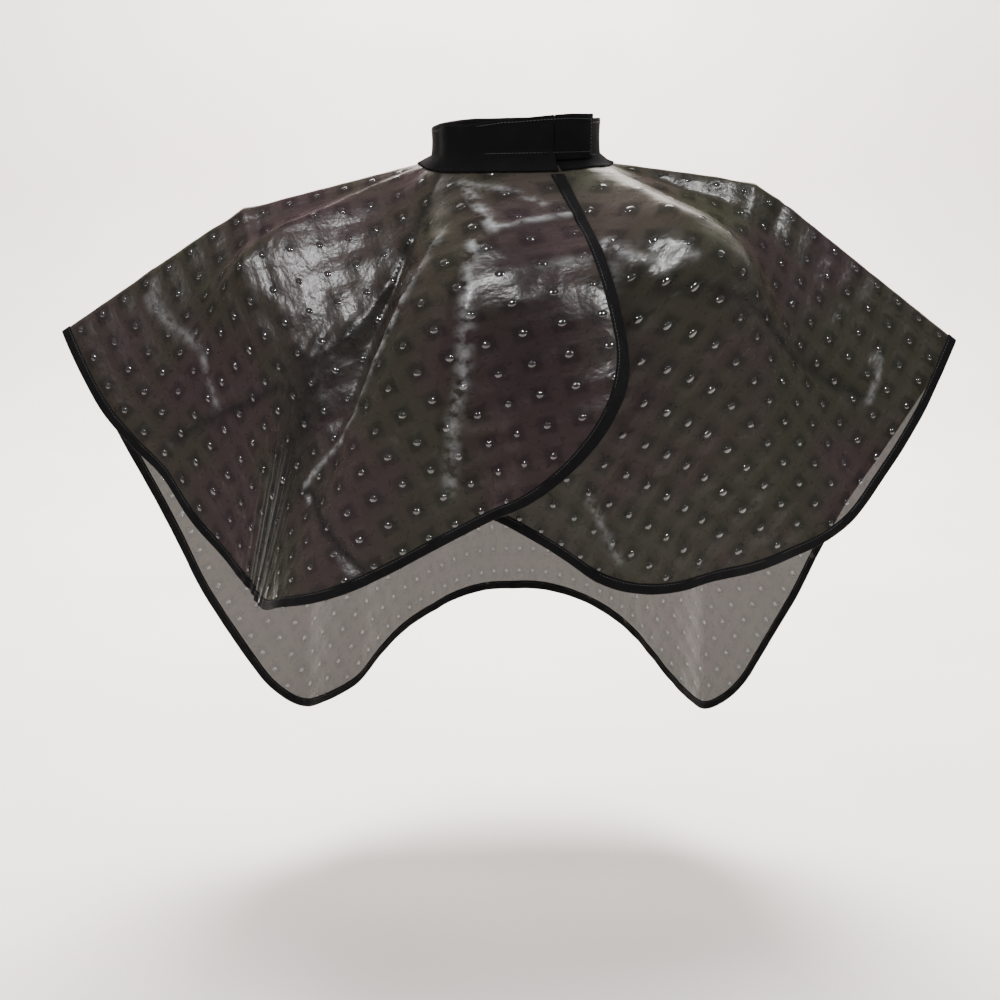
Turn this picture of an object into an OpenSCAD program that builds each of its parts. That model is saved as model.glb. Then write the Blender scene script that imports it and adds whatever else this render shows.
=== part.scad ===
// Barber cape: a sheet of embossed film cut as a round-cornered rectangle with a
// neck hole and one slit, bound all round with woven tape, and closed behind the
// neck by a two-layer band with hook-and-loop strips.
// Origin: centre of the neck opening at the lower edge of the neckband.
// +Z is up, -Y is the side with the closure, X runs from shoulder to shoulder.

/* [Flat cut of the film] */
// Half width of the cut, from the neck centre to a side edge
half_width = 500; // [480:5:520]
// Length of the cut on the closure side, from the neck centre to the hem
near_length = 410; // [395:5:425]
// Length of the cut on the far side, from the neck centre to the hem
far_length = 640; // [620:5:660]
// Radius of the two far corners
far_corner = 140; // [120:5:160]
// Radius of the two outer corners on the closure side
near_corner = 230; // [215:5:240]
// Radius of the two corners beside the slit
slit_corner = 130; // [115:5:140]

/* [Film and edge tape] */
// Thickness of the film solid
film_t = 2; // [1.6:0.2:2]
// Thickness of the folded edge tape
tape_t = 3.6; // [3.4:0.2:3.8]
// Width of the folded edge tape
tape_w = 9; // [8:0.5:11]

/* [Neckband] */
// Inside radius of the closed neckband
neck_r = 78; // [77.6:0.2:78]
// Height of the neckband
band_h = 40; // [34:1:40]
// Thickness of one layer of the neckband
band_t = 2.2; // [1.8:0.2:2.2]

/* [Hidden] */
$fn = 96;

neck_cut = 96;        // radius of the neck hole in the flat cut
bend_len = 90;        // length over which the film turns from shoulder to hanging part
fold_at = 227;        // flat angle of the fold on which the closure flap turns
fold_gap = 2.5;       // film left out on each side of that fold
strip_t = 0.8;        // thickness of the hook strip and of the loop strip
layer_gap = 0.3;      // air between the hook strip and the loop strip
loop_r = neck_r + band_t;
hook_r = loop_r + strip_t + layer_gap;
tab_r = hook_r + strip_t;
seam_t = 1.6;         // thickness of the tape over the neck seam
seam_reach = 12;      // how far that tape runs out over the film
tab_lift = 3;         // height of the lower edge of the tab
tab_start = 220.5;    // direction in which the tab starts, beside the fold
cells_round = 28;     // rows of facets in a quarter of the film
side_cells = 16;      // rows of facets in the panels beside the fold
cells_out = 18;       // facets from the neck to the hem

// Each row: flat angle, direction seen from above, slope over the shoulder,
// slope of the hanging part, flat radius of the bend, neckline radius.
stations = [
    [-90, 243, 63, 70, 205, 80.5],
    [-69, 264, 44, 92, 210, 80.5],
    [-55, 295, 42, 90, 210, 80.5],
    [-39, 321, 19, 86, 230, 82],
    [-31, 337, 22, 79, 250, 82.5],
    [-20, 351, 26, 62, 250, 83],
    [-9, 357, 18, 45, 250, 84],
    [0, 360, 6, 36, 245, 86],
    [9, 362, 22, 44, 250, 84],
    [22, 365, 42, 57, 250, 83],
    [36, 369, 54, 68, 270, 82.5],
    [52, 380, 52, 87, 300, 82.5],
    [61, 396, 38, 88, 240, 82.5],
    [74, 418, 34, 88, 210, 82.5],
    [90, 450, 32, 90, 200, 82.5],
    [106, 480, 34, 89, 210, 82.5],
    [121, 508, 36, 89, 240, 82.5],
    [130, 525, 50, 86, 300, 82.5],
    [145, 534, 58, 60, 280, 82.5],
    [158, 538, 44, 50, 285, 83],
    [170, 539, 26, 40, 285, 84],
    [180, 540, 13, 32, 285, 86],
    [189, 545, 22, 47, 285, 84],
    [198, 549, 22, 69, 290, 83],
    [207, 556, 38, 78, 300, 82.5],
    [214, 562, 48, 78, 305, 82.5],
    [220, 569, 56, 72, 310, 82.5],
    [227, 576.6, 65.2, 62.8, 300, 82.3],
    [239, 601, 50, 80, 240, 86.5],
    [251, 624, 42, 89, 220, 88],
    [262, 643, 40, 80, 225, 88],
    [270, 656, 39, 62, 222, 88]];

function column(k) = [for (s = stations) [s[0], s[k]]];
directions = column(1);
shoulder_slopes = column(2);
hanging_slopes = column(3);
bend_radii = column(4);
neckline_radii = column(5);

// Station value at a flat angle, eased over two degrees either way.
function eased(table, a) =
    0.1 * lookup(a - 2, table) + 0.25 * lookup(a - 1, table) + 0.3 * lookup(a, table)
    + 0.25 * lookup(a + 1, table) + 0.1 * lookup(a + 2, table);

// Distance along a ray to the far side of a corner circle.
function to_circle(a, cx, cy, radius) =
    let (along = cx * cos(a) + cy * sin(a))
    along + sqrt(max(0, along * along - cx * cx - cy * cy + radius * radius));

// Distance from the neck centre to the cut edge at a flat angle.
function reach(angle) =
    let (c = abs(cos(angle)), s = abs(sin(angle)),
         a = atan2(s, c),
         len = sin(angle) > 0 ? far_length : near_length,
         corner = sin(angle) > 0 ? far_corner : near_corner,
         t = min(half_width / max(c, 1e-6), len / max(s, 1e-6)),
         outer = t * c > half_width - corner && t * s > len - corner,
         inner = sin(angle) < 0 && t * c < slit_corner && t * s > len - slit_corner)
    outer ? to_circle(a, half_width - corner, len - corner, corner)
    : inner ? to_circle(a, slit_corner, len - slit_corner, slit_corner)
    : t;

// Point of the hanging film for a point of the flat cut (angle, radius).
function draped(a, r) =
    let (az = eased(directions, a),
         s1 = eased(shoulder_slopes, a),
         s2 = eased(hanging_slopes, a),
         first = eased(bend_radii, a) - bend_len / 2 - neck_cut,
         run = r - neck_cut,
         turn = min(max(run - first, 0), bend_len),
         last = max(run - first - bend_len, 0),
         now = s1 + (s2 - s1) * turn / bend_len,
         k = bend_len * 180 / PI / (abs(s2 - s1) < 0.5 ? 1 : s2 - s1),
         flat_turn = abs(s2 - s1) < 0.5,
         out = min(run, first) * cos(s1) + last * cos(s2)
             + (flat_turn ? turn * cos(s1) : k * (sin(now) - sin(s1))),
         down = min(run, first) * sin(s1) + last * sin(s2)
             + (flat_turn ? turn * sin(s1) : k * (cos(s1) - cos(now))),
         h = eased(neckline_radii, a) + out)
    [h * cos(az), h * sin(az), -down];

function unit(v) = v / norm(v);

// Outward normal of the hanging film.
function outward(a, r) =
    unit(cross(draped(a, r + 2) - draped(a, r - 2), draped(a + 0.5, r) - draped(a - 0.5, r)));

// Closed solid from two grids of points, outer side first.
module shell_solid(outer, inner) {
    rows = len(outer);
    cols = len(outer[0]);
    n = rows * cols;
    function id(i, j) = i * cols + j;
    faces = concat(
        [for (i = [0:rows - 2], j = [0:cols - 2]) [id(i + 1, j + 1), id(i, j + 1), id(i, j)]],
        [for (i = [0:rows - 2], j = [0:cols - 2]) [id(i + 1, j), id(i + 1, j + 1), id(i, j)]],
        [for (i = [0:rows - 2], j = [0:cols - 2]) [n + id(i, j + 1), n + id(i + 1, j + 1), n + id(i, j)]],
        [for (i = [0:rows - 2], j = [0:cols - 2]) [n + id(i + 1, j + 1), n + id(i + 1, j), n + id(i, j)]],
        [for (i = [0:rows - 2]) [n + id(i + 1, 0), id(i + 1, 0), id(i, 0)]],
        [for (i = [0:rows - 2]) [n + id(i, 0), n + id(i + 1, 0), id(i, 0)]],
        [for (i = [0:rows - 2]) [n + id(i, cols - 1), id(i, cols - 1), id(i + 1, cols - 1)]],
        [for (i = [0:rows - 2]) [n + id(i + 1, cols - 1), n + id(i, cols - 1), id(i + 1, cols - 1)]],
        [for (j = [0:cols - 2]) [n + id(0, j), id(0, j), id(0, j + 1)]],
        [for (j = [0:cols - 2]) [n + id(0, j + 1), n + id(0, j), id(0, j + 1)]],
        [for (j = [0:cols - 2]) [n + id(rows - 1, j + 1), id(rows - 1, j + 1), id(rows - 1, j)]],
        [for (j = [0:cols - 2]) [n + id(rows - 1, j), n + id(rows - 1, j + 1), id(rows - 1, j)]]);
    points = concat([for (row = outer, p = row) p], [for (row = inner, p = row) p]);
    polyhedron(points = points, faces = faces);
}

// Flat angle at which a panel starts or ends for a given radius; the two panels
// that meet at the fold stop short of it by the same distance on either side.
function panel_edge(a, side, r) = a == fold_at ? a + side * asin(fold_gap / r) : a;

// Share of the way round a panel for one of its rows; rows crowd towards a slit.
function row_share(a0, a1, i, cells) =
    a0 == -90 ? pow(i / cells, 1.4)
    : a1 == 270 ? 1 - pow(1 - i / cells, 1.4)
    : i / cells;

// Flat point (angle, radius) of a panel: row i of the given cells, f of the way out.
function panel_point(a0, a1, i, cells, f) =
    let (share = row_share(a0, a1, i, cells),
         mid = a0 + (a1 - a0) * share,
         r = neck_cut + (reach(mid) - neck_cut) * f,
         from = panel_edge(a0, 1, r),
         to = panel_edge(a1, -1, r))
    [from + (to - from) * share, r];

// One panel of film between two flat angles.
module film_panel(a0, a1, cells) {
    grid = [for (i = [0:cells]) [for (j = [0:cells_out])
        panel_point(a0, a1, i, cells, j / cells_out)]];
    outer = [for (row = grid) [for (g = row) draped(g[0], g[1]) + outward(g[0], g[1]) * film_t / 2]];
    inner = [for (row = grid) [for (g = row) draped(g[0], g[1]) - outward(g[0], g[1]) * film_t / 2]];
    shell_solid(outer, inner);
}

// Folded tape along a path of flat points (angle, radius) on the cut edge, with
// the flat inward direction given by its angle; it wraps 1 mm past the film edge.
module edge_tape(path, inward) {
    function flat(q) = q[1] * [cos(q[0]), sin(q[0])];
    function moved(q, dir, d) =
        let (p = flat(q),
             m = p + d * [cos(dir), sin(dir)])
        [q[0] + asin((p[0] * m[1] - p[1] * m[0]) / norm(p) / norm(m)), norm(m)];
    lips = [for (i = [0:len(path) - 1])
        let (q = path[i],
             edge = draped(q[0], q[1]),
             g = moved(q, inward[i], tape_w),
             back = draped(g[0], g[1]),
             m = moved(q, inward[i], tape_w / 2),
             up = outward(m[0], m[1]) * tape_t / 2,
             past = unit(edge - back))
        [edge + past + up, back + up, edge + past - up, back - up]];
    shell_solid([for (s = lips) [s[1], s[0]]], [for (s = lips) [s[3], s[2]]]);
}

// Path along the hem of a panel, row by row.
function hem(a0, a1, cells) = [for (i = [0:cells]) panel_point(a0, a1, i, cells, 1)];

// Flat direction pointing into the film, square to the hem.
function hem_inward(a) =
    let (d = 0.1,
         v = reach(a + d) * [cos(a + d), sin(a + d)] - reach(a - d) * [cos(a - d), sin(a - d)])
    atan2(v[0], -v[1]);

// Inward directions along a path on the hem; beside the fold the tape is cut
// along the fold, so its end section points at the neck.
function hem_directions(path, a0, a1) = [for (i = [0:len(path) - 1])
    let (at_fold = (i == 0 && a0 == fold_at) || (i == len(path) - 1 && a1 == fold_at))
    at_fold ? path[i][0] + 180 : hem_inward(path[i][0])];

module hem_tape(a0, a1, cells) {
    path = hem(a0, a1, cells);
    edge_tape(path, hem_directions(path, a0, a1));
}

// Path along a slit edge from just below the neckband to the round corner.
function slit(a, cells) =
    let (top = neck_cut + seam_reach + 2,
         end = near_length - slit_corner)
    [for (i = [0:cells]) [a, top + (end - top) * i / cells]];

function reversed(list) = [for (i = [1:len(list)]) list[len(list) - i]];
function tail(list) = [for (i = [1:len(list) - 1]) list[i]];

// Arc of band between two directions, cut square.
module band_arc(r, t, z0, z1, from, to) {
    rotate([0, 0, from])
        rotate_extrude(angle = to - from)
            translate([r, z0])
                square([t, z1 - z0]);
}

// Wedge that slants the fold end of the tab away from the end of the band below it.
module slant_cut(direction, z0, height, width) {
    rotate([0, 0, direction])
        translate([tab_r - 5, 0, 0])
            rotate([90, 0, 90])
                linear_extrude(band_t + 10)
                    polygon([[0, z0 - 0.01], [width, z0 + height + 0.01],
                             [-30, z0 + height + 0.01], [-30, z0 - 0.01]]);
}

// Tape over the neck seam, from the band down and out over the film.
module seam_tape(a0, a1, cells, band_outer, lift_z) {
    angles = [for (i = [0:cells]) a0 + (a1 - a0) * i / cells];
    rise = film_t / 2 + 0.5;
    face_r = band_outer + 0.2;
    function over(a, r, lift) = draped(a, r) + outward(a, r) * lift;
    function at_band(a, z, lift) =
        let (az = eased(directions, a)) [(face_r + lift) * cos(az), (face_r + lift) * sin(az), z];
    top = [for (a = angles) [at_band(a, lift_z + 9, seam_t), at_band(a, lift_z + 4 + seam_t, seam_t),
                             over(a, neck_cut + 4, rise + seam_t),
                             over(a, neck_cut + seam_reach, rise + seam_t)]];
    under = [for (a = angles) [at_band(a, lift_z + 9, 0), at_band(a, lift_z + 4, 0),
                               over(a, neck_cut + 4, rise),
                               over(a, neck_cut + seam_reach, rise)]];
    shell_solid(top, under);
}

film_shade = [0.36, 0.33, 0.31];
tape_shade = [0.09, 0.09, 0.09];

module film_left_side() { color(film_shade) film_panel(180, fold_at, side_cells); }
module film_far_left() { color(film_shade) film_panel(90, 180, cells_round); }
module film_far_right() { color(film_shade) film_panel(0, 90, cells_round); }
module film_right_panel() { color(film_shade) film_panel(-90, 0, cells_round); }
module film_closure_flap() { color(film_shade) film_panel(fold_at, 270, side_cells); }

module binding_left_side() {
    color(tape_shade) difference() {
        hem_tape(180, fold_at, side_cells);
        film_panel(180, fold_at, side_cells);
    }
}

module binding_far_left() {
    color(tape_shade) difference() {
        hem_tape(90, 180, cells_round);
        film_panel(90, 180, cells_round);
    }
}

module binding_far_right() {
    color(tape_shade) difference() {
        hem_tape(0, 90, cells_round);
        film_panel(0, 90, cells_round);
    }
}

module binding_right_panel() {
    down = slit(-90, 7);
    around = tail(hem(-90, 0, cells_round));
    color(tape_shade) difference() {
        edge_tape(concat(down, around),
                  concat([for (q = down) 0], hem_directions(around, -90, 0)));
        film_panel(-90, 0, cells_round);
    }
}

module binding_closure_flap() {
    up = reversed(slit(270, 7));
    around = reversed(tail(reversed(hem(fold_at, 270, side_cells))));
    color(tape_shade) difference() {
        edge_tape(concat(around, up),
                  concat(hem_directions(around, fold_at, 270), [for (q = up) 180]));
        film_panel(fold_at, 270, side_cells);
    }
}

module neckband() { color(tape_shade) band_arc(neck_r, band_t, 0, band_h, -114, 215); }

module neck_seam_tape() { color(tape_shade) seam_tape(-34, 220, 84, neck_r + band_t, 0); }

module loop_strip() { color([0.13, 0.13, 0.13]) band_arc(loop_r, strip_t, 6, band_h - 4, 262, 322); }

module neckband_tab() {
    color(tape_shade) difference() {
        band_arc(tab_r, band_t, tab_lift, tab_lift + band_h, tab_start, 327);
        slant_cut(tab_start, tab_lift, band_h, 18);
    }
}

module flap_seam_tape() { color(tape_shade) seam_tape(232, 267, 14, tab_r + band_t, tab_lift); }

module hook_strip() { color([0.16, 0.16, 0.16]) band_arc(hook_r, strip_t, 7, band_h - 3, 268, 325); }

film_left_side();
film_far_left();
film_far_right();
film_right_panel();
binding_left_side();
binding_far_left();
binding_far_right();
binding_right_panel();
neckband();
neck_seam_tape();
loop_strip();
film_closure_flap();
binding_closure_flap();
neckband_tab();
flap_seam_tape();
hook_strip();
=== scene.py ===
import math

import bpy
import numpy as np
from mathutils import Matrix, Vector


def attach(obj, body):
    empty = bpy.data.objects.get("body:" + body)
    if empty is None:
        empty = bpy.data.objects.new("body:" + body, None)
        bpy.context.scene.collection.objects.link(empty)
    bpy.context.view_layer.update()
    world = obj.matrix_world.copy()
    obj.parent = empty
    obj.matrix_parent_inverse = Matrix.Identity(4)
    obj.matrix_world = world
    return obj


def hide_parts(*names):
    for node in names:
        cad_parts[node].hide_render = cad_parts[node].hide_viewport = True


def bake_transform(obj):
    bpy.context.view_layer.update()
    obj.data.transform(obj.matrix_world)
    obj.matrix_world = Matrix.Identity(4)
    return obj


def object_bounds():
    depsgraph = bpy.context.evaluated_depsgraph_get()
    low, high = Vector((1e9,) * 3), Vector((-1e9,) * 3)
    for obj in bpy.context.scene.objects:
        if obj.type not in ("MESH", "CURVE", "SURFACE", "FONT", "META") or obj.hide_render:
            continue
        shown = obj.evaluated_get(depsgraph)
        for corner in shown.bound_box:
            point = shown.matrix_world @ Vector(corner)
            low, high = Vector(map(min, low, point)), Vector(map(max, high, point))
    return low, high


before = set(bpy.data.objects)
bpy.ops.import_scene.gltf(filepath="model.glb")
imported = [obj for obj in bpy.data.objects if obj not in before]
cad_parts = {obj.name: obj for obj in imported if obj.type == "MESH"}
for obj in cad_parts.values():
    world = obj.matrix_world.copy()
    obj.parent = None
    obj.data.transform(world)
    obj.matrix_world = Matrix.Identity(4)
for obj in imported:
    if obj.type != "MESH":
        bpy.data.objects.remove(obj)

CAD_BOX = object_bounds()

# ---------------------------------------------------------------- sizes (m)
HALF_WIDTH = 0.500        # neck centre to a side edge, flat
NEAR_LENGTH = 0.410       # neck centre to the closure-side hem, flat
FAR_LENGTH = 0.640        # neck centre to the far hem, flat
FAR_CORNER = 0.140
NEAR_CORNER = 0.230
SLIT_CORNER = 0.130
NECK_CUT = 0.096          # radius of the neck hole in the flat cut
BEND = 0.090              # length over which the film turns downwards
FOLD = 227                # flat angle of the fold of the closure flap
CELL = 0.0275             # pitch of the embossed pattern
STEP = CELL / 8           # film mesh spacing, so that facets meet the pattern
TAPE_W = 0.009            # visible width of the edge tape
BAND_R = 0.078            # inside radius of the neckband
BAND_T = 0.0022           # thickness of one layer of it
BAND_H = 0.040
TAB_R = 0.0821            # inside radius of the tab that laps over the band
TAB_LIFT = 0.003
TAB_END = 327             # direction in which the tab ends
SEAM_REACH = 0.009        # how far the foot of the band runs out over the film
STITCH = 0.0032           # pitch of the stitches
FILM_ALPHA = 0.965
FOLD_MARGIN = 0.008       # the closure panel starts this far before the fold
BAND_FROM = -76.5         # flat angle at which the foot of the band starts
BAND_SPLIT = 217          # flat angle at which it passes to the closure flap
BAND_TO = 268.5           # flat angle at which it ends
BAND_STITCHES = (-104, 205)         # directions between which the band is stitched
TAB_STITCHES = (240, TAB_END - 3)   # the same for the tab
TAPE_START = 0.012        # the slit tape starts this far from the neck hole
EMBOSS_HEIGHT = 0.0007
FILM_RELIEF = 0.7         # share of the embossing that is in the mesh
DOME_RADIUS = 0.115       # of the dome in each square, as a share of its pitch
PLEAT_ANGLE = 216         # flat angle of the fine pleats beside the fold
CAMERA_PLACE = (-0.0149, -1.30, 0.048)
CAMERA_DIP = 16.6         # degrees below level
LENS = 47.16              # mm, on a sensor 36 mm wide
RNG = np.random.default_rng(11)

# Flat angle, direction from above, slope on the shoulder, slope of the hanging
# part (degrees), flat radius of the bend, neckline radius (mm).
STATIONS = np.array([
    (-90, 243, 63, 70, 205, 80.5),
    (-69, 264, 44, 92, 210, 80.5),
    (-55, 295, 42, 90, 210, 80.5),
    (-39, 321, 19, 86, 230, 82),
    (-31, 337, 22, 79, 250, 82.5),
    (-20, 351, 26, 62, 250, 83),
    (-9, 357, 18, 45, 250, 84),
    (0, 360, 6, 36, 245, 86),
    (9, 362, 22, 44, 250, 84),
    (22, 365, 42, 57, 250, 83),
    (36, 369, 54, 68, 270, 82.5),
    (52, 380, 52, 87, 300, 82.5),
    (61, 396, 38, 88, 240, 82.5),
    (74, 418, 34, 88, 210, 82.5),
    (90, 450, 32, 90, 200, 82.5),
    (106, 480, 34, 89, 210, 82.5),
    (121, 508, 36, 89, 240, 82.5),
    (130, 525, 50, 86, 300, 82.5),
    (145, 534, 58, 60, 280, 82.5),
    (158, 538, 44, 50, 285, 83),
    (170, 539, 26, 40, 285, 84),
    (180, 540, 13, 32, 285, 86),
    (189, 545, 22, 47, 285, 84),
    (198, 549, 22, 69, 290, 83),
    (207, 556, 38, 78, 300, 82.5),
    (214, 562, 48, 78, 305, 82.5),
    (220, 569, 56, 72, 310, 82.5),
    (227, 576.6, 65.2, 62.8, 300, 82.3),
    (239, 601, 50, 80, 240, 86.5),
    (251, 624, 42, 89, 220, 88),
    (262, 643, 40, 80, 225, 88),
    (270, 656, 39, 62, 222, 88)], float)


# ------------------------------------------------------- the draped surface
def eased(column, angle):
    """Station value at a flat angle, eased over two degrees either way."""
    total = 0.0
    for shift, weight in ((-2, 0.1), (-1, 0.25), (0, 0.3), (1, 0.25), (2, 0.1)):
        total = total + weight * np.interp(angle + shift, STATIONS[:, 0], STATIONS[:, column])
    return total


def reach(angle):
    """Distance from the neck centre to the cut edge at a flat angle."""
    a = np.radians(np.asarray(angle, float))
    c, s = np.abs(np.cos(a)), np.abs(np.sin(a))
    far = np.sin(a) > 0
    length = np.where(far, FAR_LENGTH, NEAR_LENGTH)
    corner = np.where(far, FAR_CORNER, NEAR_CORNER)
    t = np.minimum(HALF_WIDTH / np.maximum(c, 1e-9), length / np.maximum(s, 1e-9))
    x, y = c * t, s * t

    def circle(cx, cy, radius):
        along = c * cx + s * cy
        return along + np.sqrt(np.maximum(along**2 - cx**2 - cy**2 + radius**2, 0))

    outer = (x > HALF_WIDTH - corner) & (y > length - corner)
    inner = ~far & (x < SLIT_CORNER) & (y > length - SLIT_CORNER)
    t = np.where(outer, circle(HALF_WIDTH - corner, length - corner, corner), t)
    return np.where(inner, circle(SLIT_CORNER, length - SLIT_CORNER, SLIT_CORNER), t)


def smooth_drape(angle, radius):
    """Hanging point of a flat point, before creases."""
    az = np.radians(eased(1, angle))
    s1, s2 = np.radians(eased(2, angle)), np.radians(eased(3, angle))
    first = eased(4, angle) / 1000 - BEND / 2 - NECK_CUT
    run = radius - NECK_CUT
    turn = np.clip(run - first, 0, BEND)
    last = np.maximum(run - first - BEND, 0)
    change = s2 - s1
    straight = np.abs(change) < 0.009
    k = BEND / np.where(straight, 1, change)
    now = s1 + change * turn / BEND
    start = np.minimum(run, first)
    out = start * np.cos(s1) + last * np.cos(s2) + np.where(
        straight, turn * np.cos(s1), k * (np.sin(now) - np.sin(s1)))
    down = start * np.sin(s1) + last * np.sin(s2) + np.where(
        straight, turn * np.sin(s1), k * (np.cos(s1) - np.cos(now)))
    h = eased(5, angle) / 1000 + out
    return np.stack([h * np.cos(az), h * np.sin(az), -down], -1)


def smooth_normal(angle, radius):
    out = smooth_drape(angle, radius + 0.002) - smooth_drape(angle, radius - 0.002)
    round_ = smooth_drape(angle + 0.5, radius) - smooth_drape(angle - 0.5, radius)
    n = np.cross(out, round_)
    return n / np.linalg.norm(n, axis=-1, keepdims=True)


def flat(angle, radius):
    a = np.radians(angle)
    return radius * np.cos(a), radius * np.sin(a)


# Packing creases and folds, in flat millimetres: from, to, height, half width.
CREASES = [
    (-279, -95, -279, 20, 2.6, 26), (-279, 0, -279, 120, 2.0, 22),
    (243, -100, 243, 20, 2.6, 26), (243, 0, 243, 130, 2.0, 22),
    (-466, -150, -296, -192, -2.2, 16), (-268, -37, -260, -124, -1.6, 14),
    (-67, -79, -123, -123, 2.4, 16), (-123, -123, -161, -156, 2.8, 16),
    (-161, -156, -211, -185, 2.8, 16), (-211, -185, -251, -189, 2.2, 16),
    (-92, -152, -135, -192, 2.6, 13), (-135, -192, -236, -269, 3.0, 14),
    (-236, -269, -311, -285, 3.0, 14), (-311, -285, -268, -408, -3.0, 16),
    (-73, -169, -97, -227, 2.2, 13), (-97, -227, -122, -282, 2.6, 14),
    (-122, -282, -141, -309, 2.6, 14), (-141, -309, -170, -366, 2.2, 16),
    (-60, -100, -23, -144, 2.0, 10), (-60, -100, -59, -162, 2.0, 10),
    (-59, -162, -11, -159, 2.0, 10),
    (120, -156, 151, -167, 2.4, 10), (151, -167, 179, -185, 2.2, 10),
    (179, -185, 443, -115, -2.4, 16), (443, -115, 432, -78, 2.0, 12),
    (120, -156, 151, -196, 2.0, 12), (239, -349, 307, -381, 1.8, 12),
    (190, -156, 280, -194, 1.6, 12),
]

# Painted highlights along the crease ridges, in flat millimetres: from, to, strength, half width.
CREASE_HIGHLIGHTS = [
    (-92, -152, -135, -192, 0.55, 6), (-135, -192, -190, -235, 0.75, 7),
    (-190, -235, -236, -269, 0.5, 6), (-236, -269, -311, -285, 0.9, 6),
    (-73, -169, -97, -227, 0.8, 8), (-97, -227, -122, -282, 0.7, 10),
    (-122, -282, -141, -309, 0.8, 9), (-141, -309, -170, -366, 0.6, 11),
    (-60, -100, -39, -120, 0.7, 5), (-39, -120, -23, -144, 0.6, 5),
    (-60, -100, -59, -162, 0.8, 6), (-59, -162, -11, -159, 0.7, 5),
    (120, -156, 151, -167, 0.8, 7), (151, -167, 190, -160, 0.6, 6),
    (443, -115, 432, -78, 0.7, 7), (239, -349, 307, -381, 0.6, 8),
    (-402, -30, -376, -112, 0.5, 12), (-376, -112, -392, -160, 0.6, 9),
    (-44, -208, -12, -211, 0.5, 8), (120, -156, 151, -196, 0.5, 6),
]
# Painted shade along creases and over broad zones of the front, in flat millimetres: from, to,
# strength, half width.
SHADED = [
    (-466, -150, -296, -192, 0.8, 8), (-268, -37, -260, -124, 0.5, 7),
    (-67, -79, -123, -123, 0.7, 12), (-123, -123, -161, -156, 0.7, 14),
    (-161, -156, -211, -185, 0.7, 18), (-211, -185, -262, -196, 0.7, 24),
    (-251, -200, -340, -262, 0.75, 40), (-340, -262, -410, -300, 0.5, 34),
    (-311, -285, -268, -408, 0.8, 9), (179, -185, 443, -115, 0.6, 10),
    (-150, -170, -190, -225, 0.5, 34), (-40, -170, -80, -300, 0.35, 60),
]


def tent(u, v, crease):
    """Height of one straight crease, in metres, over flat points in metres."""
    x0, y0, x1, y1, height, width = (value / 1000 for value in crease)
    along = np.array([x1 - x0, y1 - y0])
    t = np.clip(((u - x0) * along[0] + (v - y0) * along[1]) / (along @ along), 0, 1)
    away = np.hypot(u - x0 - t * along[0], v - y0 - t * along[1])
    return height * np.clip(1 - away / width, 0, 1) ** 1.6


def marked(u, v, lines):
    """Strength of the marks at flat points, 0 to 1."""
    total = np.zeros(np.shape(u))
    for x0, y0, x1, y1, strength, width in lines:
        total = np.maximum(total, tent(u, v, (x0, y0, x1, y1, 1000 * strength, width)) ** (1 / 1.6)
                           * strength ** (1 - 1 / 1.6))
    return total


def crumples(count, box, height):
    """Seeded random creases inside a flat box of millimetres."""
    made = []
    for _ in range(count):
        x, y = RNG.uniform(box[0], box[2]), RNG.uniform(box[1], box[3])
        turn, size = RNG.uniform(0, math.pi), RNG.uniform(30, 110)
        made.append((x, y, x + size * math.cos(turn), y + size * math.sin(turn),
                     RNG.uniform(-height, height), RNG.uniform(9, 24)))
    return made


CREASES += crumples(30, (-330, -400, 0, -100), 1.3)
CREASES += crumples(20, (-480, -300, -250, 60), 1.1)
CREASES += crumples(30, (20, -390, 480, 0), 1.1)
CREASES += crumples(46, (-470, 60, 470, 620), 1.2)


def crease_height(angle, radius):
    u, v = flat(angle, radius)
    total = np.zeros(np.shape(u))
    for crease in CREASES:
        total = total + tent(u, v, crease)
    near_neck = np.clip((radius - 0.102) / 0.05, 0, 1)
    return total * near_neck


def streaks(angle, radius):
    """Fine pleats that run down the valley beside the fold."""
    across = np.clip(1 - np.abs(angle - PLEAT_ANGLE) / 7, 0, 1)
    down = np.clip((radius - 0.24) / 0.12, 0, 1)
    return 0.0011 * across * down * np.sin(np.radians(angle) * 170)


def emboss(angle, radius):
    """Relief of the embossed squares: pyramids on a square pitch."""
    u, v = flat(angle, radius)
    a = np.abs(np.mod(u / CELL, 1) - 0.5)
    b = np.abs(np.mod(v / CELL, 1) - 0.5)
    return EMBOSS_HEIGHT * (0.5 - a - b)


def surface(angle, radius, lift=0.0, relief=0.0):
    """Hanging point of a flat point with its creases, lifted off the film."""
    angle, radius = np.broadcast_arrays(np.asarray(angle, float), np.asarray(radius, float))
    n = smooth_normal(angle, radius)
    height = crease_height(angle, radius) + streaks(angle, radius) + lift
    if relief:
        height = height + relief * emboss(angle, radius)
    return smooth_drape(angle, radius) + n * np.asarray(height)[..., None]


# ------------------------------------------------------------- mesh helpers
def add_mesh(name, points, faces, material, uvs=None, marks=None):
    """New object from points (n, 3), faces, and one uv pair and mark pair per point."""
    mesh = bpy.data.meshes.new(name)
    mesh.from_pydata([tuple(p) for p in points], [], [tuple(f) for f in faces])
    mesh.update()
    index = np.empty(len(mesh.loops), np.int32)
    mesh.loops.foreach_get("vertex_index", index)
    for label, pairs in (("flat", uvs), ("marks", marks)):
        if pairs is not None:
            layer = mesh.uv_layers.new(name=label)
            layer.data.foreach_set("uv", np.asarray(pairs, np.float32)[index].ravel())
    mesh.polygons.foreach_set("use_smooth", [True] * len(mesh.polygons))
    obj = bpy.data.objects.new(name, mesh)
    bpy.context.scene.collection.objects.link(obj)
    obj.data.materials.append(material)
    return obj


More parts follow.
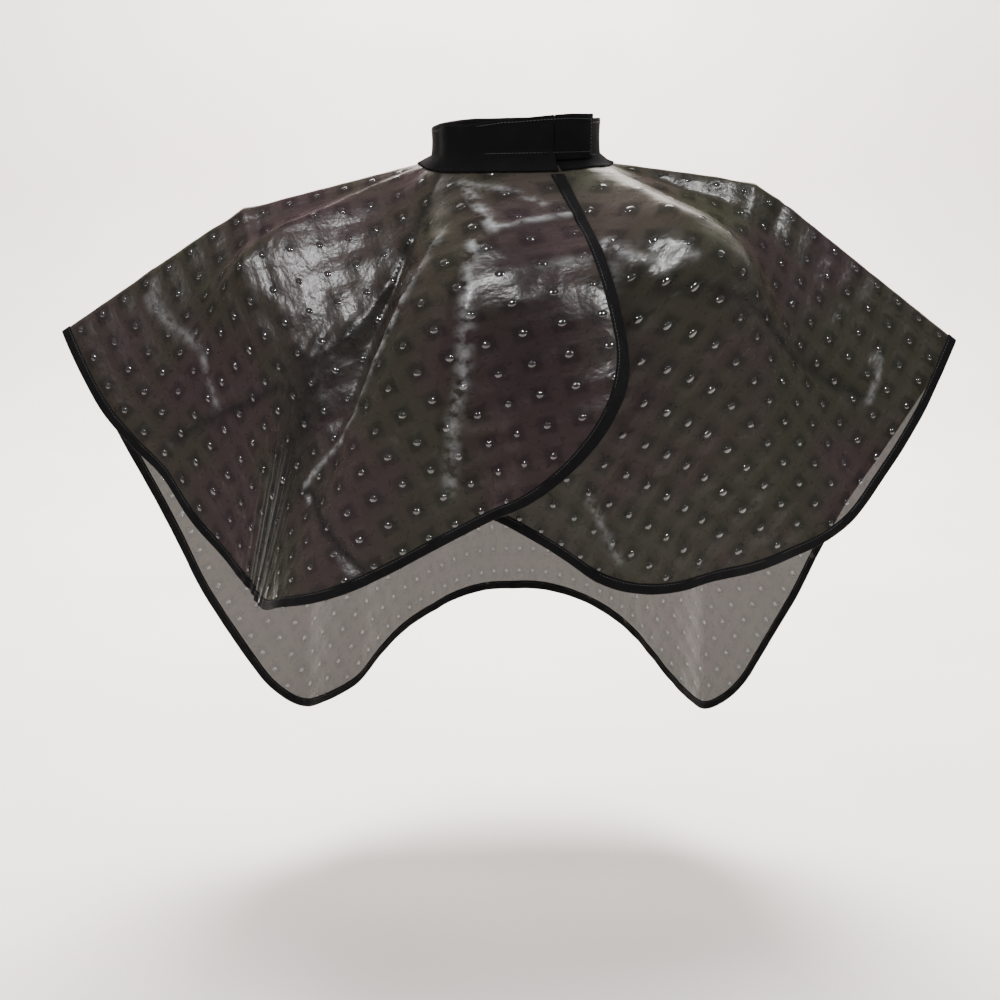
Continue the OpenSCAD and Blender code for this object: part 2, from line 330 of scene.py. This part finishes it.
def strip_faces(rows, cols, closed=False):
    """Quads of a grid of rows by cols points; closed joins the last column to the first."""
    faces = []
    for i in range(rows - 1):
        for j in range(cols if closed else cols - 1):
            k = (j + 1) % cols
            faces.append((i * cols + j, i * cols + k, (i + 1) * cols + k, (i + 1) * cols + j))
    return faces


def end_caps(rows, cols):
    first = tuple(range(cols))[::-1]
    last = tuple((rows - 1) * cols + j for j in range(cols))
    return [first, last]


# ---------------------------------------------------------------- materials
class Nodes:
    """Short calls for building a node tree."""

    def __init__(self, name):
        self.material = bpy.data.materials.new(name)
        self.material.use_nodes = True
        self.tree = self.material.node_tree
        self.shader = self.tree.nodes["Principled BSDF"]

    def node(self, kind, **settings):
        made = self.tree.nodes.new(kind)
        for key, value in settings.items():
            setattr(made, key, value)
        return made

    def link(self, source, target):
        self.tree.links.new(source, target)

    def math(self, operation, a, b=0.0, clamp=False):
        made = self.node("ShaderNodeMath", operation=operation, use_clamp=clamp)
        for socket, value in zip(made.inputs, (a, b)):
            if isinstance(value, (int, float)):
                socket.default_value = value
            else:
                self.link(value, socket)
        return made.outputs[0]

    def pair(self, name):
        """A stored pair of values, whole and as its two parts."""
        uv = self.node("ShaderNodeUVMap", uv_map=name)
        split = self.node("ShaderNodeSeparateXYZ")
        self.link(uv.outputs[0], split.inputs[0])
        return uv.outputs[0], split.outputs[0], split.outputs[1]

    def noise(self, vector, scale, detail=2.0, rough=0.5):
        made = self.node("ShaderNodeTexNoise")
        made.inputs["Scale"].default_value = scale
        made.inputs["Detail"].default_value = detail
        made.inputs["Roughness"].default_value = rough
        if vector is not None:
            self.link(vector, made.inputs["Vector"])
        return made.outputs["Fac"]

    def ramp(self, value, stops):
        made = self.node("ShaderNodeValToRGB")
        band = made.color_ramp
        while len(band.elements) < len(stops):
            band.elements.new(0.5)
        for element, (place, colour) in zip(band.elements, stops):
            element.position = place
            element.color = (*colour, 1)
        self.link(value, made.inputs[0])
        return made.outputs[0]

    def span(self, value, low, high):
        made = self.node("ShaderNodeMapRange")
        made.inputs["To Min"].default_value = low
        made.inputs["To Max"].default_value = high
        self.link(value, made.inputs["Value"])
        return made.outputs[0]

    def bump(self, height, distance, strength=1.0, before=None):
        made = self.node("ShaderNodeBump")
        made.inputs["Strength"].default_value = strength
        made.inputs["Distance"].default_value = distance
        self.link(height, made.inputs["Height"])
        if before is not None:
            self.link(before, made.inputs["Normal"])
        return made.outputs[0]

    def plain(self, colour):
        made = self.node("ShaderNodeRGB")
        made.outputs[0].default_value = (*colour, 1)
        return made.outputs[0]

    def blend(self, factor, first, second):
        made = self.node("ShaderNodeMix", data_type="RGBA")
        self.link(factor, made.inputs[0])
        self.link(first, made.inputs[6])
        self.link(second, made.inputs[7])
        return made.outputs[2]

    def finish(self, colour=None, roughness=None, normal=None, **plain):
        if colour is not None:
            self.link(colour, self.shader.inputs["Base Color"])
        if roughness is not None:
            self.link(roughness, self.shader.inputs["Roughness"])
        if normal is not None:
            self.link(normal, self.shader.inputs["Normal"])
        for key, value in plain.items():
            self.shader.inputs[key.replace("_", " ")].default_value = value
        return self.material


def film_material():
    """Thin dark film: embossed squares, a small dome in each, crumples and creases, with painted
    highlights along creases and pleats and painted shade along creases.
    """
    n = Nodes("embossed_film")
    uv, u, v = n.pair("flat")
    _, crease_highlight, shaded = n.pair("marks")
    a = n.math("ABSOLUTE", n.math("SUBTRACT", n.math("FRACT", n.math("DIVIDE", u, CELL)), 0.5))
    b = n.math("ABSOLUTE", n.math("SUBTRACT", n.math("FRACT", n.math("DIVIDE", v, CELL)), 0.5))
    pyramid = n.math("SUBTRACT", 0.5, n.math("ADD", a, b))
    apart = n.math("SQRT", n.math("ADD", n.math("MULTIPLY", a, a), n.math("MULTIPLY", b, b)))
    dome = n.math("SQRT", n.math("SUBTRACT", 1.0, n.math("POWER", n.math(
        "DIVIDE", apart, DOME_RADIUS, clamp=True), 2.0), clamp=True))
    on_dome = n.math("MULTIPLY", dome, 3.0, clamp=True)
    facet = n.math("MULTIPLY", n.math("SUBTRACT", n.math("MAXIMUM", a, b), 0.22), 8.0, clamp=True)
    crumple = n.noise(uv, 34.0, 3.0, 0.45)
    kinks = n.noise(uv, 90.0, 3.0, 0.6)
    fine = n.noise(uv, 160.0, 2.0)
    turn = n.math("MULTIPLY", n.math("ARCTAN2", v, u), 57.3)
    aside = n.math("ABSOLUTE", n.math("ADD", turn, 360.0 - PLEAT_ANGLE))
    beside = n.math("SUBTRACT", 1.0, n.math("DIVIDE", aside, 6.0), clamp=True)
    far_out = n.math("SQRT", n.math("ADD", n.math("MULTIPLY", u, u), n.math("MULTIPLY", v, v)))
    lower = n.math("MULTIPLY", n.math("SUBTRACT", far_out, 0.36), 9.0, clamp=True)
    pleats = n.math("MULTIPLY", n.math("SINE", n.math("MULTIPLY", turn, 5.6)),
                    n.math("MULTIPLY", beside, lower))
    normal = n.bump(pyramid, EMBOSS_HEIGHT)
    normal = n.bump(crumple, 0.0030, 0.6, normal)
    normal = n.bump(kinks, 0.0014, 0.5, normal)
    normal = n.bump(pleats, 0.0012, 0.8, normal)
    normal = n.bump(dome, 0.0014, 1.0, normal)
    tint = n.noise(uv, 7.0, 2.0, 0.6)
    cloud = n.noise(uv, 3.1, 3.0, 0.6)
    shade = n.math("ADD", n.math("MULTIPLY", tint, 0.7), n.math("MULTIPLY", cloud, 0.3))
    # Lighter colour on a band round each square's border: partly the film's own haze, partly a
    # painted reflection of the bright surroundings.
    dark = n.ramp(shade, [(0.40, (0.020, 0.012, 0.014)), (0.50, (0.016, 0.013, 0.011)),
                          (0.60, (0.014, 0.014, 0.009))])
    light = n.ramp(shade, [(0.40, (0.031, 0.020, 0.021)), (0.50, (0.028, 0.022, 0.018)),
                           (0.60, (0.025, 0.024, 0.016))])
    colour = n.blend(facet, dark, light)
    # Painted shade: the colour goes towards near black along the shade lines.
    painted_shade = n.math("MULTIPLY", shaded, 0.85, clamp=True)
    colour = n.blend(painted_shade, colour, n.plain((0.003, 0.0035, 0.0035)))
    # Painted highlights: pale colour along the crease ridges, broken up by noise, and on the crests
    # of the fine pleats.
    broken = n.math("MULTIPLY", n.math("SUBTRACT", kinks, 0.38), 4.0, clamp=True)
    streak = n.math("MULTIPLY", n.math("ADD", pleats, -0.25), 0.5, clamp=True)
    painted_highlight = n.math("MAXIMUM", n.math("MULTIPLY", n.math("POWER", crease_highlight, 1.5), broken), streak)
    colour = n.blend(painted_highlight, colour, n.plain((0.30, 0.31, 0.32)))
    hazy = n.span(fine, 0.22, 0.36)
    roughness = n.math("ADD", hazy, n.math("MULTIPLY", on_dome, n.math("SUBTRACT", 0.06, hazy)))
    n.link(n.math("ADD", 0.15, n.math("MULTIPLY", on_dome, 0.85)),
           n.shader.inputs["Specular IOR Level"])
    return n.finish(colour, roughness, normal, Alpha=FILM_ALPHA, IOR=1.5)


def woven_material(name, dark, light, rib, thread, sheen, base_rough):
    """Woven black fabric: ribs across and threads along, with fuzz and wear."""
    n = Nodes(name)
    uv, u, v = n.pair("flat")
    warp = n.math("SINE", n.math("MULTIPLY", u, 2 * math.pi / rib))
    weft = n.math("SINE", n.math("MULTIPLY", v, 2 * math.pi / thread))
    cloth = n.math("MULTIPLY", n.math("ADD", warp, 1.0), n.math("ADD", weft, 1.0))
    fuzz = n.noise(uv, 900.0, 3.0, 0.6)
    wear = n.noise(uv, 40.0, 3.0, 0.6)
    normal = n.bump(cloth, 0.00010)
    normal = n.bump(fuzz, 0.00016, 0.7, normal)
    normal = n.bump(wear, 0.0010, 0.5, normal)
    mixed = n.math("ADD", n.math("MULTIPLY", wear, 0.7), n.math("MULTIPLY", cloth, 0.10))
    colour = n.ramp(mixed, [(0.25, dark), (0.85, light)])
    roughness = n.span(fuzz, base_rough - 0.12, base_rough + 0.12)
    return n.finish(colour, roughness, normal, Sheen_Weight=sheen, Sheen_Roughness=0.4,
                    Specular_IOR_Level=0.05)


def thread_material():
    n = Nodes("sewing_thread")
    where = n.node("ShaderNodeTexCoord").outputs["Object"]
    twist = n.noise(where, 1500.0, 2.0)
    colour = n.ramp(twist, [(0.3, (0.012, 0.012, 0.013)), (0.7, (0.05, 0.05, 0.052))])
    return n.finish(colour, n.span(twist, 0.35, 0.6), n.bump(twist, 0.0002))


def hook_material(name, pitch, height, dark, light):
    """Rows of small hooks or loops over a woven backing, by object position."""
    n = Nodes(name)
    where = n.node("ShaderNodeTexCoord").outputs["Object"]
    cells = n.node("ShaderNodeTexVoronoi")
    cells.inputs["Scale"].default_value = 1 / pitch
    n.link(where, cells.inputs["Vector"])
    fuzz = n.noise(where, 1200.0, 3.0, 0.7)
    tuft = n.math("SUBTRACT", 1.0, cells.outputs["Distance"])
    normal = n.bump(tuft, height)
    normal = n.bump(fuzz, height / 3, 0.8, normal)
    colour = n.ramp(n.math("MULTIPLY", tuft, fuzz), [(0.1, dark), (0.7, light)])
    return n.finish(colour, n.span(fuzz, 0.55, 0.9), normal, Sheen_Weight=0.02,
                    Specular_IOR_Level=0.1)


FILM = film_material()
TAPE = woven_material("edge_tape", (0.002, 0.002, 0.0025), (0.007, 0.006, 0.007),
                      0.0009, 0.0011, 0.0, 0.50)
BAND = woven_material("neckband_fabric", (0.002, 0.002, 0.0025), (0.006, 0.0055, 0.0065),
                      0.0008, 0.0008, 0.01, 0.80)
THREAD = thread_material()
HOOKS = hook_material("hook_tape", 0.0016, 0.0006, (0.005, 0.005, 0.006), (0.030, 0.030, 0.032))
LOOPS = hook_material("loop_tape", 0.0022, 0.0008, (0.004, 0.004, 0.005), (0.022, 0.022, 0.024))


# --------------------------------------------------------------------- film
def film_cells():
    """Cells of the flat grid inside the cut, as corner columns and rows."""
    cols = int(math.ceil(HALF_WIDTH / STEP))
    low, high = int(math.floor(-NEAR_LENGTH / STEP)), int(math.ceil(FAR_LENGTH / STEP))
    i, j = np.meshgrid(np.arange(-cols, cols), np.arange(low, high), indexing="ij")
    x, y = (i + 0.5) * STEP, (j + 0.5) * STEP
    radius = np.hypot(x, y)
    angle = np.degrees(np.arctan2(y, x))
    inside = (radius > NECK_CUT + STEP / 2) & (radius < reach(angle) - 0.002)
    return i[inside], j[inside]


def past_fold(u, v):
    """Flat distance past the fold line, positive on the closure side."""
    c, s = math.cos(math.radians(FOLD)), math.sin(math.radians(FOLD))
    return c * v - s * u


def film_piece(name, i, j):
    """Film object for some cells; the slit keeps its two edges apart."""
    corners = np.stack([np.stack([i, i + 1, i + 1, i], -1), np.stack([j, j, j + 1, j + 1], -1)], -1)
    left = np.repeat((i < 0)[:, None], 4, 1) & (corners[..., 0] == 0) & (corners[..., 1] < 0)
    keys = corners[..., 0] * 100000 + corners[..., 1] * 10 + left
    _, first, index = np.unique(keys.ravel(), return_index=True, return_inverse=True)
    gi = corners[..., 0].ravel()[first]
    gj = corners[..., 1].ravel()[first]
    on_left = left.ravel()[first]
    u, v = gi * STEP, gj * STEP
    angle = np.degrees(np.arctan2(v, u))
    angle = np.where((u < 0) & (v < 0), angle + 360, angle)
    angle = np.where(on_left, 270.0, angle)
    radius = np.hypot(u, v)
    points = surface(angle, radius, relief=FILM_RELIEF)
    # Strengths of the painted highlights and the painted shade at each point.
    marks = np.stack([marked(u, v, CREASE_HIGHLIGHTS), marked(u, v, SHADED)], -1)
    obj = add_mesh(name, points, index.reshape(-1, 4), FILM, np.stack([u, v], -1), marks)
    return obj, len(i) * STEP * STEP


def build_film():
    i, j = film_cells()
    past = past_fold((i + 0.5) * STEP, (j + 0.5) * STEP)
    flap = (i < 0) & (j < 0) & (past > -FOLD_MARGIN)
    body, body_area = film_piece("film_sheet_body", i[~flap], j[~flap])
    panel, panel_area = film_piece("film_sheet_closure_panel", i[flap], j[flap])
    return body, body_area, panel, panel_area


# ---------------------------------------------------------------- edge tape
def edge_path(spacing=0.003):
    """Flat points round the whole cut, from the right slit edge to the left one,
    evenly spaced, with the flat angle kept continuous, and the inward direction."""
    slit_end = NEAR_LENGTH - SLIT_CORNER
    slit = np.linspace(NECK_CUT + TAPE_START, slit_end, 60)[:-1]
    angle = -90 + 360 * (0.5 - 0.5 * np.cos(np.linspace(0, math.pi, 6000)))
    angles = np.concatenate([np.full(len(slit), -90.0), angle, np.full(len(slit), 270.0)])
    radii = np.concatenate([slit, reach(np.clip(angle, -89.9999, 269.9999)), slit[::-1]])
    x, y = flat(angles, radii)
    length = np.concatenate([[0], np.cumsum(np.hypot(np.diff(x), np.diff(y)))])
    even = np.linspace(0, length[-1], int(length[-1] / spacing))
    angles, radii = np.interp(even, length, angles), np.interp(even, length, radii)
    x, y = flat(angles, radii)
    tx, ty = np.gradient(x), np.gradient(y)
    size = np.hypot(tx, ty)
    return even, angles, radii, -ty / size, tx / size


def moved(angles, radii, nx, ny, distance):
    """Flat point moved inwards, as angle and radius."""
    x, y = flat(angles, radii)
    mx, my = x + nx * distance, y + ny * distance
    turn = np.degrees(np.arctan2(x * my - y * mx, x * mx + y * my))
    return angles + turn, np.hypot(mx, my)


def tape_frame(path):
    """Edge, middle and inner points of the tape and its thickness direction."""
    _, angles, radii, nx, ny = path
    lines = []
    for share in (0.0, 0.5, 1.0):
        a, r = moved(angles, radii, nx, ny, TAPE_W * share)
        lines.append(surface(a, r))
    a, r = moved(angles, radii, nx, ny, TAPE_W / 2)
    up = smooth_normal(a, r)
    return lines[0], lines[1], lines[2], up


def across_tape(lines, share):
    """Point at a share of the tape's width; below 0 is past the film edge."""
    edge, middle, inner = lines
    return (edge * (1 - share) * (1 - 2 * share) + middle * 4 * share * (1 - share)
            + inner * share * (2 * share - 1))


def tape_profile():
    """Half outline of the folded tape: share of the width, half thickness (mm)."""
    top = [(1.0, 0.12), (0.985, 0.42), (0.93, 0.55), (0.7, 0.58), (0.4, 0.60), (0.1, 0.62),
           (-0.05, 0.60), (-0.11, 0.42), (-0.135, 0.0)]
    return [(s, t / 1000) for s, t in top] + [(s, -t / 1000) for s, t in top[-2::-1]]


def build_tape(name, path, lines, up, keep):
    even = path[0][keep]
    edge, middle, inner = (line[keep] for line in lines)
    up = up[keep]
    ripple = 0.00025 * np.sin(even * 61) + 0.0002 * np.sin(even * 143 + 1.3)
    profile = tape_profile()
    rows, cols = len(even), len(profile)
    points = np.zeros((rows, cols, 3))
    uvs = np.zeros((rows, cols, 2))
    for k, (share, half) in enumerate(profile):
        wavy = share * (1 + 0.02 * np.sin(even * 37))[:, None]
        points[:, k] = across_tape((edge, middle, inner), wavy) + up * (half + ripple)[:, None]
        uvs[:, k, 0] = even
        uvs[:, k, 1] = share * TAPE_W + (0.02 if half < 0 else 0)
    faces = strip_faces(rows, cols, closed=True) + end_caps(rows, cols)
    obj = add_mesh(name, points.reshape(-1, 3), faces, TAPE, uvs.reshape(-1, 2))
    return obj


# ----------------------------------------------------------------- stitches
def build_stitches(name, line, normal, radius=0.00022):
    """A row of short stitches sunk into the cloth along a line of points."""
    steps = np.linalg.norm(np.diff(line, axis=0), axis=1)
    length = np.concatenate([[0], np.cumsum(steps)])
    count = max(int(length[-1] / STITCH), 1)
    rings = [(-0.40, 0.15, -0.6), (-0.28, 0.9, 0.5), (0.0, 1.0, 0.9), (0.28, 0.9, 0.5),
             (0.40, 0.15, -0.6)]
    sides = 6
    points, faces = [], []
    for s in range(count):
        centre = (s + 0.5) * length[-1] / count
        at = np.array([np.interp(centre, length, line[:, k]) for k in range(3)])
        ahead = np.array([np.interp(centre + STITCH / 3, length, line[:, k]) for k in range(3)])
        behind = np.array([np.interp(centre - STITCH / 3, length, line[:, k]) for k in range(3)])
        along = (ahead - behind) / max(np.linalg.norm(ahead - behind), 1e-9)
        up = np.array([np.interp(centre, length, normal[:, k]) for k in range(3)])
        up = up - along * (up @ along)
        up = up / np.linalg.norm(up)
        side = np.cross(along, up)
        base = len(points)
        for shift, size, rise in rings:
            middle = at + along * shift * STITCH * 1.9 / 2 + up * rise * radius * 0.5
            for k in range(sides):
                turn = 2 * math.pi * k / sides
                points.append(middle + radius * size * (side * math.cos(turn) + up * math.sin(turn)))
        for i in range(len(rings) - 1):
            for k in range(sides):
                m = (k + 1) % sides
                faces.append((base + i * sides + k, base + i * sides + m,
                              base + (i + 1) * sides + m, base + (i + 1) * sides + k))
        faces.append(tuple(base + k for k in range(sides))[::-1])
        faces.append(tuple(base + (len(rings) - 1) * sides + k for k in range(sides)))
    obj = add_mesh(name, np.array(points), faces, THREAD)
    return obj


# ----------------------------------------------------------------- neckband
def band_top(azimuths):
    """Height of the band's upper edge: it sags up to the strips and less over them."""
    a = np.radians(azimuths)
    turn = np.mod(azimuths, 360)
    eased_in = np.clip((turn - 120) / 60, 0, 1)
    sag = eased_in * (0.006 * np.clip((262 - turn) / 25, 0, 1)
                      + 0.003 * np.clip((306 - turn) / 40, 0, 1))
    return BAND_H - sag + 0.0005 * np.sin(a * 5 + 1.0)


def band_wave(azimuths):
    """Unevenness of the cloth and its share; it lies flat where the strips are sewn on."""
    a = np.radians(azimuths)
    turn = np.mod(azimuths, 360)
    before, after = np.clip((258 - turn) / 15, 0, 1), np.clip((turn - 330) / 15, 0, 1)
    loose = 0.05 + 0.95 * np.maximum(before, after)
    return loose * (0.0006 * np.sin(a * 9 + 0.4) + 0.0004 * np.sin(a * 17)), loose


def band_rows(angles, azimuths, inner_r, lift_z, foot_lift, foot):
    """Outer-skin points of the band from its top fold to its foot on the film."""
    a = np.radians(azimuths)
    ring = np.stack([np.cos(a), np.sin(a)], -1)
    wave, loose = band_wave(azimuths)
    top = band_top(azimuths)
    rows = []
    for share, swell in ((1.0, -0.0002), (0.985, 0.0), (0.93, 0.0002), (0.8, 0.0), (0.62, -0.0002),
                         (0.45, 0.0), (0.3, 0.0004), (0.2, 0.0009)):
        r = inner_r + BAND_T + swell * loose + wave * (0.4 + 0.6 * share)
        z = lift_z + top * share
        rows.append(np.concatenate([ring * r[:, None], z[:, None]], -1))
    if foot:
        for reach_out, lift in ((0.0022, 0.0028), (0.0050, 0.0020), (SEAM_REACH - 0.001, 0.0015),
                                (SEAM_REACH, 0.0009)):
            rows.append(surface(angles, NECK_CUT + reach_out, lift + foot_lift))
    else:
        for share in (0.1, 0.03, 0.0):
            r = inner_r + BAND_T + wave * 0.4
            rows.append(np.concatenate([ring * r[:, None], (lift_z + top * share)[:, None]], -1))
    return rows


def band_loop(angles, azimuths, inner_r, lift_z, foot_lift, foot):
    """Closed section of the band: outer skin down, inner skin back up."""
    outer = band_rows(angles, azimuths, inner_r, lift_z, foot_lift, foot)
    a = np.radians(azimuths)
    ring = np.stack([np.cos(a), np.sin(a)], -1)
    wave, _ = band_wave(azimuths)
    inner = []
    for share in (0.02, 0.25, 0.5, 0.75, 0.96):
        r = inner_r + wave * (0.4 + 0.6 * share)
        z = lift_z + band_top(azimuths) * share
        inner.append(np.concatenate([ring * r[:, None], z[:, None]], -1))
    return outer + inner


def build_band(name, angles, azimuths, inner_r, lift_z, foot_lift=0.0, foot=True):
    loop = band_loop(angles, azimuths, inner_r, lift_z, foot_lift, foot)
    points = np.stack(loop, 1)
    rows, cols = points.shape[:2]
    along = np.radians(azimuths) * inner_r
    steps = np.linalg.norm(np.diff(points[rows // 2], axis=0), axis=1)
    around = np.concatenate([[0], np.cumsum(steps)])
    uvs = np.stack(np.broadcast_arrays(along[:, None], around[None, :]), -1)
    faces = strip_faces(rows, cols, closed=True) + end_caps(rows, cols)
    obj = add_mesh(name, points.reshape(-1, 3), faces, BAND, uvs.reshape(-1, 2))
    return obj


def ring_line(radius, share, lift, from_, to, count=120):
    """Line round the band at a share of its height, with the outward direction."""
    azimuths = np.linspace(from_, to, count)
    a = np.radians(azimuths)
    normal = np.stack([np.cos(a), np.sin(a), np.zeros(count)], -1)
    line = normal * radius
    line[:, 2] = lift + band_top(azimuths) * share
    return line, normal


def upright_line(radius, azimuth, low, high, count=12):
    a = math.radians(azimuth)
    normal = np.tile([math.cos(a), math.sin(a), 0.0], (count, 1))
    line = normal * radius
    line[:, 2] = np.linspace(low, high, count)
    return line, normal


def bends(piece):
    """Bakes the piece's placing into its points; the piece is not attached to a body."""
    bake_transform(piece)


body_film, body_area, panel_film, panel_area = build_film()
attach(body_film, "cape")
bends(panel_film)
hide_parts("film_left_side", "film_far_left", "film_far_right", "film_right_panel")
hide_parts("film_closure_flap")

path = edge_path()
edge, middle, inner, up = tape_frame(path)
px, py = flat(path[1], path[2])
on_flap = (path[1] > 200) & (past_fold(px, py) > -FOLD_MARGIN)
split = int(np.argmax(on_flap))
on_body = np.arange(len(px)) <= split
on_flap = np.arange(len(px)) >= split
body_tape = build_tape("edge_tape_body", path, (edge, middle, inner), up, on_body)
panel_tape = build_tape("edge_tape_closure_panel", path, (edge, middle, inner), up, on_flap)
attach(body_tape, "cape")
bends(panel_tape)
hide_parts("binding_left_side", "binding_far_left", "binding_far_right",
            "binding_right_panel")
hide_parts("binding_closure_flap")

for part, keep, crosses in (("body", on_body, False), ("closure_panel", on_flap, True)):
    for side, sign in (("outer", 1), ("inner", -1)):
        line = across_tape((edge[keep], middle[keep], inner[keep]), 0.80) + up[keep] * sign * 0.00058
        seam = build_stitches(f"tape_stitches_{part}_{side}", line, up[keep] * sign)
        if crosses:
            bends(seam)
        else:
            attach(seam, "cape")

body_angles = np.linspace(BAND_FROM, BAND_SPLIT, 420)
body_band = build_band("neckband_body", body_angles, eased(1, body_angles), BAND_R, 0.0)
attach(body_band, "cape")
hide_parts("neckband", "neck_seam_tape")

flap_angles = np.linspace(BAND_SPLIT, BAND_TO, 110)
tab_extra = np.linspace(eased(1, BAND_TO), TAB_END + 360, 60)[1:]


def tab_radius(azimuth):
    """The tab leaves the line of the band beside the fold and runs over it."""
    t = np.clip((azimuth - eased(1, BAND_SPLIT)) / 16, 0, 1)
    return BAND_R + (TAB_R - BAND_R) * t * t * (3 - 2 * t)


def tab_tilt(azimuth):
    """The tab climbs a little towards its free end."""
    t = np.clip((azimuth - eased(1, BAND_SPLIT)) / 16, 0, 1)
    rise = np.clip((azimuth - 620) / 67, 0, 1)
    return TAB_LIFT * t * t * (3 - 2 * t) + 0.002 * rise


fold_band = build_band("neckband_tab_foot", flap_angles, eased(1, flap_angles),
                       tab_radius(eased(1, flap_angles)), tab_tilt(eased(1, flap_angles)), 0.0)
bends(fold_band)
tab = build_band("neckband_tab_end", np.full(len(tab_extra), 269.0), tab_extra,
                 tab_radius(tab_extra), tab_tilt(tab_extra), foot=False)
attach(tab, "closure_flap")
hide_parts("flap_seam_tape")
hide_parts("neckband_tab")

lines = []
for share in (0.93, 0.2):
    line, normal = ring_line(BAND_R + BAND_T + 0.0003, share, 0.0, *BAND_STITCHES, 300)
    lines.append(("cape", f"band_stitches_{int(share * 100)}", line, normal))
    line, normal = ring_line(TAB_R + BAND_T + 0.0003, share, TAB_LIFT, *TAB_STITCHES)
    lines.append(("closure_flap", f"tab_stitches_{int(share * 100)}", line, normal))
line, normal = upright_line(TAB_R + BAND_T + 0.0004, TAB_END - 2.5,
                            TAB_LIFT + 0.004, TAB_LIFT + BAND_H - 0.002)
lines.append(("closure_flap", "tab_stitches_end", line, normal))
for body, name, line, normal in lines:
    row = build_stitches(name, line, normal)
    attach(row, body)

for node, material in (("hook_strip", HOOKS), ("loop_strip", LOOPS)):
    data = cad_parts[node].data
    data.materials.clear()
    data.materials.append(material)


# -------------------------------------------------------------------- stage
def studio_material():
    n = Nodes("studio_paper")
    where = n.node("ShaderNodeTexCoord").outputs["Object"]
    grain = n.noise(where, 3.0, 2.0)
    colour = n.ramp(grain, [(0.3, (0.80, 0.755, 0.715)), (0.7, (0.84, 0.80, 0.76))])
    return n.finish(colour, n.span(grain, 0.7, 0.85), n.bump(grain, 0.002))


def build_backdrop():
    """Paper sweep: flat floor, quarter round, upright back."""
    floor_z, back_y, bend_r = CAD_BOX[0][2] - 0.16, 2.8, 0.6
    turns = np.linspace(0, math.pi / 2, 16)
    section = [(-3.4, floor_z)]
    section += [(back_y - bend_r + bend_r * math.sin(t), floor_z + bend_r - bend_r * math.cos(t))
                for t in turns]
    section += [(back_y, 3.2)]
    points = [(x, y, z) for x in (-3.5, 3.5) for y, z in section]
    count = len(section)
    faces = [(k, count + k, count + k + 1, k + 1) for k in range(count - 1)]
    obj = add_mesh("backdrop", np.array(points), faces, studio_material())


def lamp(name, place, target, size, power, colour=(1, 1, 1), glossy=True, diffuse=True):
    light = bpy.data.lights.new(name, "AREA")
    light.energy = power
    light.color = colour
    light.size = size
    obj = bpy.data.objects.new(name, light)
    bpy.context.scene.collection.objects.link(obj)
    obj.location = place
    obj.rotation_euler = (Vector(target) - Vector(place)).to_track_quat("-Z", "Y").to_euler()
    obj.visible_camera = False
    obj.visible_glossy = glossy
    obj.visible_diffuse = diffuse


def build_lights():
    middle = (0, 0, -0.25)
    lamp("key_softbox", (-1.9, -1.6, 2.2), middle, 1.4, 50, (1.0, 0.985, 0.96), glossy=False)
    lamp("fill_softbox", (2.3, -1.3, 1.2), middle, 1.5, 24, (0.96, 0.98, 1.0), glossy=False)
    lamp("top_softbox", (0.0, 0.2, 2.6), middle, 1.6, 26, glossy=False)
    lamp("floor_wash", (0.0, 0.9, 2.6), (0, 1.1, -0.8), 2.0, 250, (1.0, 0.975, 0.95), glossy=False)
    lamp("wall_wash", (0.0, 1.3, 2.3), (0, 2.8, 0.1), 1.8, 290, (1.0, 0.975, 0.95), glossy=False)
    lamp("haze_left", (-1.6, -1.9, 1.3), middle, 0.9, 3.5, (0.93, 0.97, 1.0), diffuse=False)
    lamp("haze_right", (1.5, -1.7, 1.9), middle, 0.7, 2.5, (0.93, 0.97, 1.0), diffuse=False)
    for name, side in (("spark_left", -1), ("spark_right", 1)):
        lamp(name, (side * 1.1, -2.0, 1.7), middle, 0.24, 120, diffuse=False)
    world = bpy.data.worlds.new("studio")
    bpy.context.scene.world = world
    world.use_nodes = True
    world.node_tree.nodes["Background"].inputs["Color"].default_value = (0.95, 0.96, 1.0, 1)
    world.node_tree.nodes["Background"].inputs["Strength"].default_value = 0.32


def build_camera():
    data = bpy.data.cameras.new("camera")
    data.sensor_width = 36
    data.lens = LENS
    obj = bpy.data.objects.new("camera", data)
    bpy.context.scene.collection.objects.link(obj)
    obj.location = CAMERA_PLACE
    obj.rotation_euler = (math.radians(90 - CAMERA_DIP), 0, 0)
    bpy.context.scene.camera = obj


build_backdrop()
build_lights()
build_camera()
